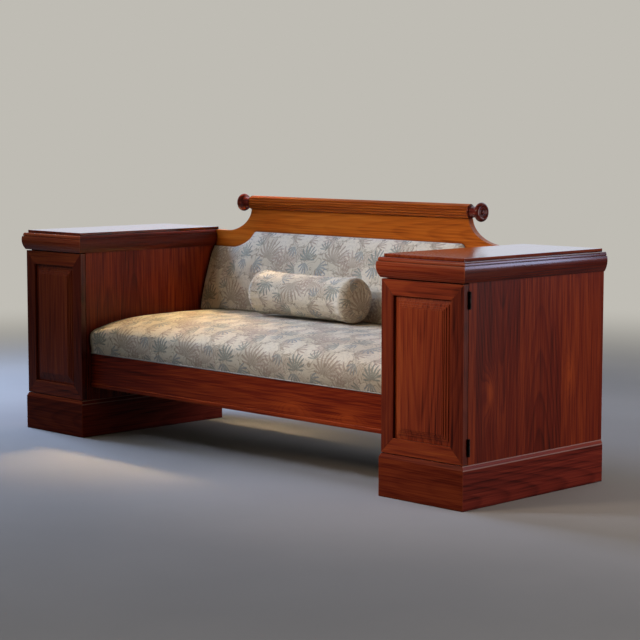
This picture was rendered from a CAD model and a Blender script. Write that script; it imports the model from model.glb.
# %% [markdown]
# Empire sofa between two cupboard pedestals
#
# The joiner's work is already in the frame: every board, moulding, hinge and bolt at its real size.
# This lesson adds what the upholsterer and the polisher did. Lengths are in metres, +X runs along
# the seat, +Y runs to the back, and every place is taken from the frame's own boxes.

# %% Load the frame
import math

import bmesh
import bpy
import numpy as np
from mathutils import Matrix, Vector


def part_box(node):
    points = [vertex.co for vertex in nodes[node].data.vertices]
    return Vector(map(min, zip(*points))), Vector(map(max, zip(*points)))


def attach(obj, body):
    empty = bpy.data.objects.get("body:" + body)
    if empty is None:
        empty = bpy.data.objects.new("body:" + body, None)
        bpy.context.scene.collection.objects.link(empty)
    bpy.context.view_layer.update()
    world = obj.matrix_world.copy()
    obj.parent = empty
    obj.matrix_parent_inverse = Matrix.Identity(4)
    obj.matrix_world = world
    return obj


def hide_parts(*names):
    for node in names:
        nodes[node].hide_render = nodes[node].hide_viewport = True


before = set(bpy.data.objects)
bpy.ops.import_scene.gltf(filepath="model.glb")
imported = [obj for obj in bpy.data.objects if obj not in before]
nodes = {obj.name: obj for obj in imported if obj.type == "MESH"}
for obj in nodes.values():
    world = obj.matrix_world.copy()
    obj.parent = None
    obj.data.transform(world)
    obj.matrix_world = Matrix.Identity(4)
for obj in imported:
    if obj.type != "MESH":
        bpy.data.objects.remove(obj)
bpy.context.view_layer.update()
ROOT = "sofa_frame"

# %% [markdown]
# Places that many pieces share
#
# A designer measures once and refers back. The seat lies between the pedestals' inner faces, on
# the front rail and against the backboard, so those three give most of the upholstery's sizes.


# %% Places from the frame
def corners(node):
    """The lowest and the highest corner of a node at rest."""
    return [np.array(corner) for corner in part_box(node)]


rail_low, rail_high = corners("seat_front_rail")
seat_low, seat_high = corners("seat_cushion")
roll_low, roll_high = corners("bolster")
crest_low, crest_high = corners("crest_rail")
torus_low, torus_high = corners("right_cap_outer_moulding")
board_low = corners("backboard")[0]
pad_high = corners("back_pad")[1]
side_high = corners("right_outer_side")[1]
x_inner = rail_high[0]
x_outer = side_high[0]
print("seat span", round(2 * x_inner, 3), "m; pedestal", round(x_outer - x_inner, 3), "m wide")

# %% [markdown]
# Camera
#
# The picture was taken with a long lens from the sofa's right, a little above its arms. A camera
# fitted to the straight edges of the joinery gives the place, the turn and the lens below.

# %% Make the camera
EYE = (4.8504, -4.6616, 1.1986)
TURN_LEFT = math.radians(45.228)
LOOK_DOWN = math.radians(5.961)
ROLL = math.radians(-0.038)
LENS_MM = 102.42

scene = bpy.context.scene
camera = bpy.data.objects.new("camera", bpy.data.cameras.new("camera"))
scene.collection.objects.link(camera)
scene.camera = camera
camera.location = EYE
camera.rotation_euler = (math.pi / 2 - LOOK_DOWN, ROLL, TURN_LEFT)
camera.data.lens = LENS_MM
camera.data.sensor_width = 36
scene.view_settings.view_transform = "Standard"
print("camera at", EYE, "with a", LENS_MM, "mm lens")

# %% [markdown]
# Colours and nodes
#
# A colour picked from a screen is an sRGB value, but the renderer adds light in linear values, so
# one function turns hex colours into linear ones. One more function adds a shader node, sets it
# and links it. Every material below is made of calls to it. Most nodes only do a sum, so a kind
# written in capitals, such as "MULTIPLY", is the operation of a Math node. A colour ramp also takes
# its stops, from left to right.


# %% Helpers for colours and nodes
def colour(hex_code):
    """sRGB hex to linear RGBA: (c + 0.055) / 1.055 to the power 2.4, or c / 12.92 near black."""
    parts = [int(hex_code[i : i + 2], 16) / 255 for i in (1, 3, 5)]
    return [c / 12.92 if c <= 0.04045 else ((c + 0.055) / 1.055) ** 2.4 for c in parts] + [1.0]


def add(tree, kind, inputs=(), out=0, stops=(), **settings):
    """Adds one node, sets and links its inputs, by order or by name, and returns one output."""
    if kind.isupper():
        kind, settings["operation"] = "Math", kind
    node = tree.nodes.new(kind if kind.startswith("Node") else "ShaderNode" + kind)
    for key, value in settings.items():
        setattr(node, key, value)
    pairs = inputs.items() if isinstance(inputs, dict) else enumerate(inputs)
    for key, value in pairs:
        if isinstance(value, bpy.types.NodeSocket):
            tree.links.new(value, node.inputs[key])
        elif value is not None:
            node.inputs[key].default_value = value
    for number, (place, hex_code) in enumerate(stops):
        elements = node.color_ramp.elements
        element = elements[number] if number < len(elements) else elements.new(place)
        element.position, element.color = place, colour(hex_code)
    return node.outputs[out] if node.outputs else None


def new_material(name):
    """An empty node material, and its tree."""
    material = bpy.data.materials.new(name)
    material.use_nodes = True
    material.node_tree.nodes.clear()
    return material, material.node_tree


print("sRGB #808080 is", round(colour("#808080")[0], 3), "in linear light")

# %% [markdown]
# Floor, light and backdrop
#
# The real room has one cool window on the left, above arm height, and pale walls that fill the
# shadows. A soft lamp stands for the window, so the left arm shades the left end of the seat, and
# weaker ones stand for the tall window, the room in front, the walls and the warm ceiling. The
# floor looks pale to the camera, but it throws back as little light as a darker one. The world is
# the rest of the room: varnish mirrors a bright wall behind the sofa on the left, and a dim room
# elsewhere, which keeps the wood's colour deep. A lamp that isn't mirrored lights the wood without
# a white patch on it.

# %% Floor
WALL = "#bfbcb4"
SCREED, SCREED_THROWN = ("#a3a2a0", "#b8b6b2"), "#4c4a48"
FLOOR_R, FLOOR_SIDES = 14.0, 64
FADE_FROM, FADE_TO = 2.2, 6.0

floor_mesh = bpy.data.meshes.new("floor")
turns = np.linspace(0, 2 * np.pi, FLOOR_SIDES, endpoint=False)
rim = np.stack([FLOOR_R * np.cos(turns), FLOOR_R * np.sin(turns), 0 * turns], -1)
floor_mesh.from_pydata(rim.tolist(), [], [list(range(FLOOR_SIDES))])
floor = bpy.data.objects.new("floor", floor_mesh)
scene.collection.objects.link(floor)

screed, tree = new_material("trowelled screed")
where = add(tree, "TexCoord", out=3)
cloud = add(tree, "TexNoise", {"Vector": where, "Scale": 1.3, "Detail": 5.0})
seen = add(tree, "LightPath", out=0)
pale = add(tree, "Mix", {0: cloud, 6: colour(SCREED[0]), 7: colour(SCREED[1])}, 2, data_type="RGBA")
tone = add(tree, "Mix", {0: seen, 6: colour(SCREED_THROWN), 7: pale}, 2, data_type="RGBA")
ground = add(tree, "BsdfPrincipled", {"Base Color": tone, "Roughness": 0.85, "Specular IOR Level": 0.2})
away = add(tree, "VectorMath", [where], 1, operation="LENGTH")
fade = add(tree, "MapRange", [away, FADE_FROM, FADE_TO, 0.0, 1.0], interpolation_type="SMOOTHSTEP")
share = add(tree, "MULTIPLY", [fade, seen])
wall_light = add(tree, "Emission", [colour(WALL), 1.0])
both = add(tree, "MixShader", [share, ground, wall_light])
add(tree, "OutputMaterial", [both])
floor_mesh.materials.append(screed)
print("the floor turns into wall between", FADE_FROM, "and", FADE_TO, "m from the sofa")

# %% World
BRIGHT_WALL = (-0.50, 0.80, 0.32)
FILL = (0.025, 0.38)

world = bpy.data.worlds.new("pale room")
world.use_nodes = True
tree = world.node_tree
tree.nodes.clear()
upwards = add(tree, "SeparateXYZ", [add(tree, "TexCoord")]).node.outputs["Z"]
from_above = add(tree, "MapRange", [upwards, 0.0, 1.0, *FILL])
fill_light = add(tree, "Background", [colour("#d2c4a8"), from_above])
wall_seen = add(tree, "Background", [colour(WALL), 1.0])
facing = add(tree, "VectorMath", [add(tree, "TexCoord"), BRIGHT_WALL], 1, operation="DOT_PRODUCT")
mirrored = add(tree, "MapRange", [facing, 0.40, 0.90, 0.05, 1.0], interpolation_type="SMOOTHSTEP")
wall_mirrored = add(tree, "Background", [colour("#d6dbe6"), mirrored])
camera_ray = add(tree, "LightPath", out=0)
glossy_ray = add(tree, "LightPath", out=3)
lit = add(tree, "MixShader", [camera_ray, fill_light, wall_seen])
add(tree, "OutputWorld", [add(tree, "MixShader", [glossy_ray, lit, wall_mirrored])])
scene.world = world
print("fill light from", FILL[0], "at the horizon to", FILL[1], "overhead")


# %% Lamps
def lamp(name, place, target, size, watts, hex_code, spread=180, mirrored=True):
    """A square area lamp at place that faces target; spread is the angle of its beam in degrees."""
    data = bpy.data.lights.new(name, "AREA")
    data.shape, data.size, data.energy = "SQUARE", size, watts
    data.color = colour(hex_code)[:3]
    data.spread = math.radians(spread)
    made = bpy.data.objects.new(name, data)
    scene.collection.objects.link(made)
    made.location = place
    made.visible_glossy = mirrored
    aim = np.array(target, float) - np.array(place, float)
    across = math.hypot(aim[0], aim[1])
    made.rotation_euler = (math.atan2(across, -aim[2]), 0, math.atan2(aim[1], aim[0]) - math.pi / 2)


lamp("window", (-3.2, -0.3, 2.3), (0.2, 0.0, 0.5), 1.1, 140, "#bcd3ff", mirrored=False)
lamp("tall_window", (-1.7, -2.5, 2.9), (0.5, 0.15, 0.5), 0.8, 5.0, "#dbe5ff", spread=36,
     mirrored=False)
lamp("front_of_room", (-0.2, -2.7, 1.9), (1.05, 0.0, 0.45), 0.6, 2.1, "#ffe2c6", spread=46)
lamp("far_window", (2.5, 1.6, 1.15), (1.18, 0.0, 0.76), 0.5, 4.0, "#cdd6ff")
lamp("wall_on_the_right", (3.6, 0.9, 0.75), (1.1, 0.2, 0.4), 1.4, 24, "#f4e8e6")
lamp("wall_behind_sofa", (1.0, 3.2, 2.4), (0.3, 0.1, 0.6), 2.4, 14, "#f2f4ff")
lamp("warm_ceiling", (-0.95, 1.4, 2.9), (-0.50, 0.0, 0.45), 0.4, 2.8, "#ffd89e", spread=24,
     mirrored=False)

# %% [markdown]
# Varnished hardwood
#
# The joinery is a red-brown hardwood, planed, stained and varnished to a satin gloss. Three things
# make such wood readable: the growth rings, which a saw cuts into nested arches, the soft ribbons
# of darker and lighter wood along the grain, and the fine fibres. A photograph of a plank would
# repeat on every board, so the wood is worked out as a solid pattern instead. Rings are cones
# round a heart line that lies under each board, and every glued board gets a heart of its own.

# %% Glued boards
BOARD_SHIFT = 0.37
LAYERS_PER_METRE = 5.0


def own_board(tree, wide, deep, board):
    """The distance from a board's own heart line, and three chances that belong to that board."""
    boards = add(tree, "MULTIPLY_ADD", [wide, 1 / board, BOARD_SHIFT])
    number = add(tree, "FLOOR", [boards])
    layer = add(tree, "FLOOR", [add(tree, "MULTIPLY", [deep, LAYERS_PER_METRE])])
    key = add(tree, "CombineXYZ", [number, layer, 0.5])
    chance = add(tree, "TexWhiteNoise", [key], 1, noise_dimensions="3D")
    chances = add(tree, "SeparateXYZ", [chance]).node.outputs
    place = add(tree, "SUBTRACT", [boards, number])
    heart = add(tree, "MULTIPLY_ADD", [chances[0], 0.4, 0.3])
    return add(tree, "MULTIPLY", [add(tree, "SUBTRACT", [place, heart]), board]), chances


print("hearts change every", 1 / LAYERS_PER_METRE, "m through the thickness")

# %% [markdown]
# Rings and knots
#
# The saw's cut is nearly level with the rings, so it runs out of one ring into the next, and each
# way out is an arch on the board. A late ring is dark and ends sharply, so the share of late wood
# climbs with the third power and then drops. Where a branch grew, the rings rise round it: a knot
# lifts the ring number near it and makes an eye in the figure.

# %% Growth rings
RING_LEAN = 0.13
RING_SWAY = 0.045
KNOT_RISE = 0.045
KNOT_STRETCH = 0.42


def knot_eyes(tree, line, wide, knots):
    """One in the middle of each knot and nothing beyond its size; a knot is longer than it is wide."""
    eyes = 0.0
    for knot_line, knot_wide, size in knots:
        off_line = add(tree, "MULTIPLY_ADD", [line, KNOT_STRETCH, -KNOT_STRETCH * knot_line])
        off_wide = add(tree, "SUBTRACT", [wide, knot_wide])
        apart = add(tree, "CombineXYZ", [off_line, off_wide, 0.0])
        off = add(tree, "VectorMath", [apart], 1, operation="LENGTH")
        eye = add(tree, "MapRange", [off, 0.0, size, 1.0, 0.0], interpolation_type="SMOOTHSTEP")
        eyes = add(tree, "ADD", [eyes, eye])
    return eyes


def late_wood(tree, line, sideways, chances, sway, eyes, ring, figure):
    """Ring number = (distance from the heart line + lean * length + sway + knots) / ring width."""
    below = add(tree, "MULTIPLY_ADD", [chances[1], 0.05, 0.03])
    square = add(tree, "MULTIPLY_ADD", [sideways, sideways, add(tree, "MULTIPLY", [below, below])])
    radius = add(tree, "SQRT", [square])
    lean = add(tree, "MULTIPLY_ADD", [chances[2], 2 * RING_LEAN, -RING_LEAN])
    leaning = add(tree, "MULTIPLY_ADD", [line, lean, radius])
    swayed = add(tree, "MULTIPLY_ADD", [sway, RING_SWAY * figure, leaning])
    risen = add(tree, "MULTIPLY_ADD", [eyes, KNOT_RISE, swayed])
    rings = add(tree, "FRACT", [add(tree, "MULTIPLY", [risen, 1 / ring])])
    edge = add(tree, "MapRange", [rings, 1.0, 0.80, 0.0, 1.0], interpolation_type="SMOOTHSTEP")
    return add(tree, "MULTIPLY", [add(tree, "POWER", [rings, 3.0]), edge])


print("a heart line leans by up to", RING_LEAN * 100, "cm in a metre")

# %% [markdown]
# Old polish
#
# A century of wax darkens the quirks, where no cloth reaches, and hands wear it thin on the
# arrises. Ambient occlusion finds both: seen from outside it is low in a quirk, and seen from
# inside the wood it is low at an arris. A chamfer's blunt edges are too open for that, so the
# plinths' scuffed lines are drawn by their height.

# %% Wax and wear
WEAR_MM, SCUFF_MM = 3.0, 2.6
SCUFFED = "#b48a80"


def old_polish(tree, paint, light, height, scuffed, grime_mm):
    """The paint with lighter arrises and scuffed heights, scaled down towards the quirks."""
    inner = add(tree, "AmbientOcclusion", {"Distance": WEAR_MM / 1000}, 1, samples=8, inside=True,
                only_local=True)
    worn = add(tree, "MapRange", [inner, 0.75, 0.35, 0.0, 0.6])
    paint = add(tree, "Mix", {0: worn, 6: paint, 7: colour(light)}, 2, data_type="RGBA")
    for edge in scuffed:
        off_edge = add(tree, "ABSOLUTE", [add(tree, "SUBTRACT", [height, edge])])
        scuff = add(tree, "MapRange", [off_edge, SCUFF_MM / 2000, SCUFF_MM / 1000, 0.85, 0.0])
        paint = add(tree, "Mix", {0: scuff, 6: paint, 7: colour(SCUFFED)}, 2, data_type="RGBA")
    open_to = add(tree, "AmbientOcclusion", {"Distance": grime_mm / 1000}, 1, samples=8)
    clean = add(tree, "MapRange", [open_to, 0.40, 0.92, 0.30, 1.0])
    return add(tree, "VectorMath", {0: paint, "Scale": clean}, operation="SCALE")


print("wear reaches", WEAR_MM, "mm from an arris, a scuff is", SCUFF_MM, "mm wide")

# %% [markdown]
# The whole wood
#
# Ribbons, streaks and fibres are the same noise, drawn out along the grain by different shares and
# at different widths. Everything adds up to one tone, and three colours are laid along it. The
# fibres also set the gloss, and with the rings they make the faint relief of planed wood. Real
# fibres are a fraction of a millimetre wide, too fine to show in a picture of a whole sofa, so they
# are drawn as bundles of a few millimetres.

# %% The wood material
# For each noise: its share of the length along the grain, its width in millimetres, and its detail.
GRAIN_NOISE = {"ribbon": (0.045, 15.0, 2.0), "streak": (0.025, 6.0, 1.5), "fibre": (0.02, 4.0, 3.0)}
TONE_START = 0.04
TONE_SHARES = {"ribbon": 0.42, "streak": -0.18, "fibre": 0.66, "cloud": 0.60, "board": 0.06, "knot": 0.20}
LATE_SHARE = -0.75
SATIN_RANGE, PORE_DEEP = 0.16, 0.0006


def hardwood(name, along, across, tones, board=0.22, ring=0.016, figure=1.0, gloss=0.36, coat=0.1,
             shine=0.28, grain=0.10, knots=(), grime_mm=12.0, scuffed=()):
    """Tone = ribbons + streaks + fibres + clouds - late wood, laid on three colours."""
    material, tree = new_material(name)
    thick = ({"X", "Y", "Z"} - {along, across}).pop()
    xyz = add(tree, "SeparateXYZ", [add(tree, "TexCoord", out=3)]).node.outputs
    line, wide, deep = xyz[along], xyz[across], xyz[thick]
    sideways, chances = own_board(tree, wide, deep, board)
    shifted = add(tree, "ADD", [wide, chances[2]])
    stretched = add(tree, "CombineXYZ", [shifted, deep, add(tree, "MULTIPLY", [line, 0.3])])
    sway = add(tree, "TexNoise", {"Vector": stretched, "Scale": 6.0, "Detail": 2.0})
    cloud = add(tree, "TexNoise", {"Vector": stretched, "Scale": 2.6, "Detail": 1.0})
    eyes = knot_eyes(tree, line, wide, knots)
    parts = {"cloud": cloud, "board": chances[1], "knot": eyes}
    for kind, (share, width_mm, detail) in GRAIN_NOISE.items():
        at = add(tree, "CombineXYZ", [wide, deep, add(tree, "MULTIPLY", [line, share])])
        parts[kind] = add(tree, "TexNoise", {"Vector": at, "Scale": 1000 / width_mm, "Detail": detail})
    parts["streak"] = add(tree, "MapRange", [parts["streak"], 0.52, 0.64, 0.0, 1.0])
    fibre = parts["fibre"]

    late = late_wood(tree, line, sideways, chances, sway, eyes, ring, figure)
    lively = add(tree, "MapRange", [cloud, 0.38, 0.62, 1.0, 0.25])
    shown = add(tree, "MAXIMUM", [lively, add(tree, "MULTIPLY", [eyes, 0.6])])
    late = add(tree, "MULTIPLY", [late, shown])

    tone = TONE_START
    for kind, amount in TONE_SHARES.items():
        tone = add(tree, "MULTIPLY_ADD", [parts[kind], amount, tone])
    glow = add(tree, "MULTIPLY", [eyes, add(tree, "MULTIPLY_ADD", [fibre, 1.0, 0.78])])
    tone = add(tree, "MAXIMUM", [tone, glow])
    tone = add(tree, "MULTIPLY_ADD", [late, LATE_SHARE * figure, tone])
    level = add(tree, "MapRange", [tone, 0.36, 1.30, 0.0, 1.0])
    dark, middle, light = tones
    paint = add(tree, "ValToRGB", [level], stops=[(0.08, dark), (0.5, middle), (0.95, light)])
    paint = old_polish(tree, paint, light, xyz["Z"], scuffed, grime_mm)

    sheen = add(tree, "MULTIPLY_ADD", [fibre, SATIN_RANGE, gloss - SATIN_RANGE / 2])
    relief = add(tree, "MULTIPLY_ADD", [late, 0.4, fibre])
    bump = add(tree, "Bump", {"Strength": grain, "Distance": PORE_DEEP, "Height": relief})
    skin = add(tree, "BsdfPrincipled", {"Base Color": paint, "Roughness": sheen, "IOR": 1.5,
                                        "Normal": bump, "Specular IOR Level": shine,
                                        "Coat Weight": coat, "Coat Roughness": 0.16, "Coat IOR": 1.5})
    add(tree, "OutputMaterial", [skin])
    return material


for kind, (share, width_mm, _) in GRAIN_NOISE.items():
    print(kind, width_mm, "mm wide and", round(width_mm / share), "mm long")

# %% [markdown]
# Which way the grain runs
#
# A joiner keeps the grain along each board: upright on the sides, the stiles and the panels, level
# on the plinths, rails and mouldings. Where two boards meet at a mitre the grain turns, and that
# change of direction is what makes the joint show. The table below gives each board its wood, the
# way along and across the grain, its three tones and what sets its polish apart.

# %% Stains and knots
RED = ("#3a0f08", "#702817", "#9c4623")
PLINTH = ("#451410", "#842f23", "#ac4c34")
SIDE = ("#3e1208", "#782513", "#b04a1e")
ORANGE = ("#4a160a", "#90381e", "#b85a2a")
DARK = ("#2e0b06", "#621d10", "#8c3c20")
HONEY = ("#883c0e", "#c2621b", "#dd8632")
PLAIN = ("#5a3a26", "#8c6444", "#b08a64")
SAWN = {"gloss": 0.6, "coat": 0.0}

# A knot is its place along the grain, its place across the board, and its size.
SIDE_KNOTS = [(0.363, -0.231, 0.055), (0.384, 0.184, 0.045)]
RAIL_KNOTS = [(0.33, 0.245, 0.06), (0.60, 0.235, 0.05)]

PLINTH_CHAMFER, PLINTH_EDGE = 0.015, 0.0015
plinth_top = corners("right_plinth_front")[1][2]
plinth_edges = (plinth_top - PLINTH_EDGE, plinth_top - PLINTH_CHAMFER)
print("plinths scuffed at", np.round(plinth_edges, 4), "m")

# %% Finish the joinery
PEDESTAL = [
    ("outer_side", "varnished cedar, outer sides", "ZY", SIDE,
     {"ring": 0.013, "figure": 0.5, "shine": 0.2, "knots": SIDE_KNOTS}),
    ("inner_side", "varnished cedar, inner sides", "ZY", SIDE,
     {"board": 0.12, "figure": 0.6, "shine": 0.2}),
    ("door_hinge_stile door_free_stile", "varnished cedar, stiles", "ZX", RED,
     {"board": 0.09, "figure": 0.45, "coat": 0.3, "grime_mm": 8.0}),
    ("door_top_rail door_foot_rail", "varnished cedar, door rails", "XZ", ORANGE,
     {"board": 0.3, "figure": 0.5, "coat": 0.3, "grime_mm": 8.0}),
    ("door_panel", "varnished cedar, panels", "ZX", ORANGE,
     {"board": 0.16, "figure": 0.5, "coat": 0.6, "grime_mm": 2.5}),
    ("plinth_front", "varnished cedar, plinth fronts", "XZ", RED,
     {"board": 0.21, "figure": 0.4, "shine": 0.15, "coat": 0.0}),
    ("plinth_outer plinth_inner", "varnished cedar, plinth sides", "YZ", PLINTH,
     {"board": 0.21, "figure": 0.4, "shine": 0.15, "coat": 0.0, "scuffed": plinth_edges}),
    ("cap_slab", "varnished cedar, arm tops", "YX", ORANGE,
     {"gloss": 0.14, "coat": 0.9, "shine": 0.5}),
    ("carcase_back", "sawn boards, upright", "ZX", PLAIN, SAWN),
    ("floor_board top_board shelf", "sawn boards, level", "YX", PLAIN, SAWN),
]
SEAT_AND_BACK = [
    ("seat_front_rail seat_rail_bead", "varnished cedar, seat rail", "XZ", SIDE,
     {"board": 0.3, "ring": 0.010, "figure": 0.7, "shine": 0.2, "knots": RAIL_KNOTS}),
    ("seat_back_rail", "sawn rail, along the seat", "XZ", PLAIN, SAWN),
    ("seat_end_rails", "sawn rail, along the arms", "YZ", PLAIN, SAWN),
    ("backboard", "varnished honey cedar", "XZ", HONEY, {"board": 0.4, "ring": 0.016, "figure": 0.35}),
]
finishes = {}
for table, hands in ((PEDESTAL, ("left_", "right_")), (SEAT_AND_BACK, ("",))):
    for boards, name, (along, across), tones, polish in table:
        wood = hardwood(name, along, across, tones, **polish)
        finishes.update({hand + board: wood for board in boards.split() for hand in hands})
print(len(finishes), "boards have a wood")

# %% [markdown]
# Blackened hinges and bright steel
#
# The butt hinges are steel, blackened in oil and rubbed on the knuckles by years of use. The bolts,
# the catches and the springs stay bright. Steel keeps the default IOR, and what tells black iron
# from bright steel is colour, roughness and the uneven film of oil.


# %% Metal materials
def steel(name, dull, bright, rough, speck_mm):
    """Metal whose colour and roughness wander between two values with a fine noise."""
    material, tree = new_material(name)
    where = add(tree, "TexCoord", out=3)
    speck = add(tree, "TexNoise", {"Vector": where, "Scale": 1000 / speck_mm, "Detail": 3.0})
    film = add(tree, "TexNoise", {"Vector": where, "Scale": 60.0, "Detail": 2.0})
    mixed = add(tree, "MULTIPLY", [speck, film])
    spread = add(tree, "MapRange", [mixed, 0.12, 0.42, 0.0, 1.0])
    tone = add(tree, "ValToRGB", [spread], stops=[(0.0, dull), (1.0, bright)])
    roughness = add(tree, "MapRange", [film, 0.3, 0.7, rough + 0.12, rough])
    bump = add(tree, "Bump", {"Strength": 0.2, "Distance": 0.0002, "Height": speck})
    skin = add(tree, "BsdfPrincipled", {"Base Color": tone, "Metallic": 1.0, "Roughness": roughness,
                                        "Normal": bump})
    add(tree, "OutputMaterial", [skin])
    return material


black_steel = steel("oil-blackened steel", "#171412", "#4a4541", 0.38, 1.5)
bright_steel = steel("plain bright steel", "#77746f", "#b4b2ad", 0.30, 1.0)
spring_steel = steel("copper-washed spring steel", "#6d5a48", "#a48d74", 0.34, 1.2)

for name in nodes:
    if "hinge_" in name and "stile" not in name:
        finishes[name] = black_steel
    elif name in ("door_catches", "frame_bolts") or "strike" in name:
        finishes[name] = bright_steel
print(sum(finish in (black_steel, bright_steel) for finish in finishes.values()), "pieces are steel")

# %% [markdown]
# Softened arrises
#
# No joiner leaves a razor edge: a few strokes of fine paper round every arris, and the round
# catches a line of light. The frame's meshes are loose triangles, so the modifiers first weld them
# and melt flat triangles together, and then bevel what is sharper than 30 degrees.

# %% Soften the boards
ARRIS = {"plinth": 0.0016, "door_panel": 0.0003, "door": 0.0007, "cap_slab": 0.0010, "side": 0.0006,
         "rail": 0.0012, "backboard": 0.0016}
FLAT_TURN, ARRIS_TURN, WELD_GAP = 0.3, 30, 0.00002


def soften(piece, width):
    """Weld, dissolve flat faces, and bevel sharp edges in three steps."""
    weld = piece.modifiers.new("weld", "WELD")
    weld.merge_threshold = WELD_GAP
    melt = piece.modifiers.new("melt", "DECIMATE")
    melt.decimate_type = "DISSOLVE"
    melt.angle_limit = math.radians(FLAT_TURN)
    round_off = piece.modifiers.new("arris", "BEVEL")
    round_off.width = width
    round_off.segments = 3
    round_off.limit_method = "ANGLE"
    round_off.angle_limit = math.radians(ARRIS_TURN)
    round_off.use_clamp_overlap = True


for name, material in finishes.items():
    piece = nodes[name]
    piece.data.materials.clear()
    piece.data.materials.append(material)
    widths = [width for word, width in ARRIS.items() if word in name]
    if widths and not name.endswith(("screws", "leaves")):
        soften(piece, widths[0])
print(len(finishes), "frame pieces finished")

# %% [markdown]
# Grids into pieces
#
# The mouldings, the turned knobs and the upholstery are all surfaces with two parameters: one runs
# along a profile and the other along the piece. A grid of points is worked out as one array, and
# the faces join each point to its neighbours. Every profile here closes on itself, so the last
# point of a row is joined to its first, and a run is shut with one face at each end.


# %% Faces of a grid
def grid_faces(rows, cols):
    """Quads of a grid whose columns wrap: point numbers, and the rows and unwrapped columns."""
    i, j = np.meshgrid(np.arange(rows - 1), np.arange(cols), indexing="ij")
    corner_rows = np.stack([i, i + 1, i + 1, i], -1).reshape(-1, 4)
    corner_cols = np.stack([j, j, j + 1, j + 1], -1).reshape(-1, 4)
    return corner_rows * cols + corner_cols % cols, corner_rows, corner_cols


def solid_run(rings):
    """Points and faces of a stack of closed rings: a wall from ring to ring, and both ends shut."""
    rows, cols = rings.shape[:2]
    last = (rows - 1) * cols
    ends = [list(range(cols)), [last + k for k in reversed(range(cols))]]
    return rings.reshape(-1, 3), grid_faces(rows, cols)[0].tolist() + ends


print("3 rings of 4 points make", len(solid_run(np.zeros((3, 4, 3)))[1]), "faces")


# %% Pieces
def make_piece(name, points, faces, material, slot, body=ROOT, replaces=()):
    """A mesh piece from numpy points and faces; it gets a finish, a body and the nodes it stands for."""
    mesh = bpy.data.meshes.new(name)
    points = np.asarray(points).reshape(-1, 3)
    mesh.from_pydata(points.tolist(), [], [list(map(int, face)) for face in faces])
    mesh.polygons.foreach_set("use_smooth", [True] * len(mesh.polygons))
    mesh.materials.append(material)
    mesh.validate()
    mesh.update()
    piece = bpy.data.objects.new(name, mesh)
    scene.collection.objects.link(piece)
    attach(piece, body)
    if replaces:
        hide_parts(*replaces)
    return piece


# %% Tubes and joined parts
STEEP = 0.97


def tube(path, radius, sides=10):
    """A round tube: each ring is centre + radius * (cos a * side + sin a * up), square to the path."""
    along = np.gradient(path, axis=0)
    along /= np.linalg.norm(along, axis=1, keepdims=True)
    up = np.tile([0.0, 0.0, 1.0], (len(path), 1))
    up[np.abs(along[:, 2]) > STEEP] = [0.0, 1.0, 0.0]
    side = np.cross(along, up)
    side /= np.linalg.norm(side, axis=1, keepdims=True)
    up = np.cross(side, along)
    angle = np.linspace(0, 2 * np.pi, sides, endpoint=False)[None, :, None]
    rings = path[:, None] + radius * (np.cos(angle) * side[:, None] + np.sin(angle) * up[:, None])
    return solid_run(rings)


def join(parts):
    """Several (points, faces) as one."""
    points, faces, first = [], [], 0
    for some_points, some_faces in parts:
        some_points = np.asarray(some_points).reshape(-1, 3)
        points.append(some_points)
        faces += [[int(k) + first for k in face] for face in some_faces]
        first += len(some_points)
    return np.concatenate(points), faces


# %% [markdown]
# Arm mouldings
#
# Each arm is capped by a fat torus, a narrow quirk and a small bead, run along three sides and
# mitred at the corners. A moulding is the clearest case of a profile carried along a path: a point
# that stands out from the face by d also starts d further along, and that alone cuts the mitre.

# %% The cap profile
SLAB_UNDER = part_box("right_cap_slab")[0][2]
BEAD_H, BEAD_OUT, BEAD_TOP_OUT = 0.0125, 0.0095, 0.0045
TORUS_OUT, TORUS_FOOT_OUT, TORUS_FULL_H = 0.014, 0.003, 0.037
QUIRK = 0.0025
cap_foot = torus_low[2]
bead_foot = SLAB_UNDER - BEAD_H
rise = TORUS_OUT - TORUS_FOOT_OUT
torus_r = (TORUS_FULL_H**2 + rise**2) / (2 * rise)


def cap_outline(depth):
    """Closed profile of (out, height): the torus is one arc, the bead a quarter of an ellipse."""
    h = np.linspace(0, bead_foot - cap_foot - QUIRK / 2, 40)
    arc = np.sqrt(torus_r**2 - (h - TORUS_FULL_H) ** 2)
    torus = np.stack([TORUS_OUT - torus_r + arc, cap_foot + h], -1)
    a = np.linspace(0, np.pi / 2, 18)
    bead_out = BEAD_TOP_OUT + (BEAD_OUT - BEAD_TOP_OUT) * np.cos(a)
    bead = np.stack([bead_out, bead_foot + BEAD_H * np.sin(a)], -1)
    quirk = [[BEAD_OUT - QUIRK, bead_foot - QUIRK / 2], [BEAD_OUT - QUIRK, bead_foot]]
    return np.concatenate([[[-depth, cap_foot]], torus, quirk, bead, [[-depth, SLAB_UNDER]]])


print("torus radius", round(torus_r, 4), "m, cap", round(SLAB_UNDER - cap_foot, 4), "m high")

# %% Mitred runs
y_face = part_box("right_door_free_stile")[0][1]
y_behind = side_high[1]
front_depth = -(y_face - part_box("right_cap_front_moulding")[1][1])
side_depth = torus_high[0] - TORUS_OUT - torus_low[0]


def front_run(depth):
    """Two rings, one in each mitre: x = inner face - out and outer face + out, y = front face - out."""
    out, z = cap_outline(depth).T
    ends = [np.stack([x, y_face - out, z], -1) for x in (x_inner - out, x_outer + out)]
    return np.stack(ends)


def side_run(depth, face, outwards):
    """One ring in the front mitre and one square at the back: x = face + out."""
    out, z = cap_outline(depth).T
    x = face + outwards * out
    return np.stack([np.stack([x, y_face - out, z], -1), np.stack([x, 0 * x + y_behind, z], -1)])


print("caps run from y =", round(y_face, 3), "to", round(y_behind, 3), "m")


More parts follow.
